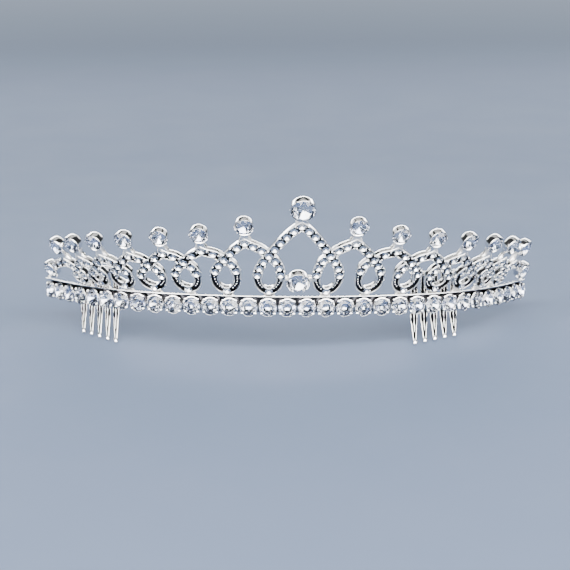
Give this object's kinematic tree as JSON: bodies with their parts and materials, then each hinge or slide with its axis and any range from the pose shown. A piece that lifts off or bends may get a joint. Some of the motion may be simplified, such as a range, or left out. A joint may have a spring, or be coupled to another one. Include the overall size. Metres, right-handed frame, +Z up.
{
  "type": "rhinestone tiara",
  "caption": "Curved silver tiara: a band of cup-set clear stones under a forward-leaning row of pointed looped arches topped with round stones, on two side combs.",
  "frame": {"origin": "middle of the footprint, on the surface that the comb teeth stand on", "axes": "+X to the tiara's own left as worn, along its length; -Y the way its front faces; +Z up"},
  "size_m": [0.1346, 0.0534, 0.0452],
  "materials": {
    "silver_metal": "polished silver plate",
    "clear_stone": "clear cut glass with a silver foil back"
  },
  "bodies": {
    "root": {"frame": "silver_metal", "comb_left": "silver_metal", "comb_right": "silver_metal", "band_stones_left": "clear_stone", "band_stones_right": "clear_stone", "small_stones_left": "clear_stone", "small_stones_right": "clear_stone", "centre_stone": "clear_stone", "end_stone_left": "clear_stone", "end_stone_right": "clear_stone", "top_stone_01": "clear_stone", "top_stone_02": "clear_stone", "top_stone_03": "clear_stone", "top_stone_04": "clear_stone", "top_stone_05": "clear_stone", "top_stone_06": "clear_stone", "top_stone_07": "clear_stone", "top_stone_08": "clear_stone", "top_stone_09": "clear_stone", "top_stone_10": "clear_stone", "top_stone_11": "clear_stone", "top_stone_12": "clear_stone", "top_stone_13": "clear_stone", "top_stone_14": "clear_stone", "top_stone_15": "clear_stone"}
  },
  "joints": []
}
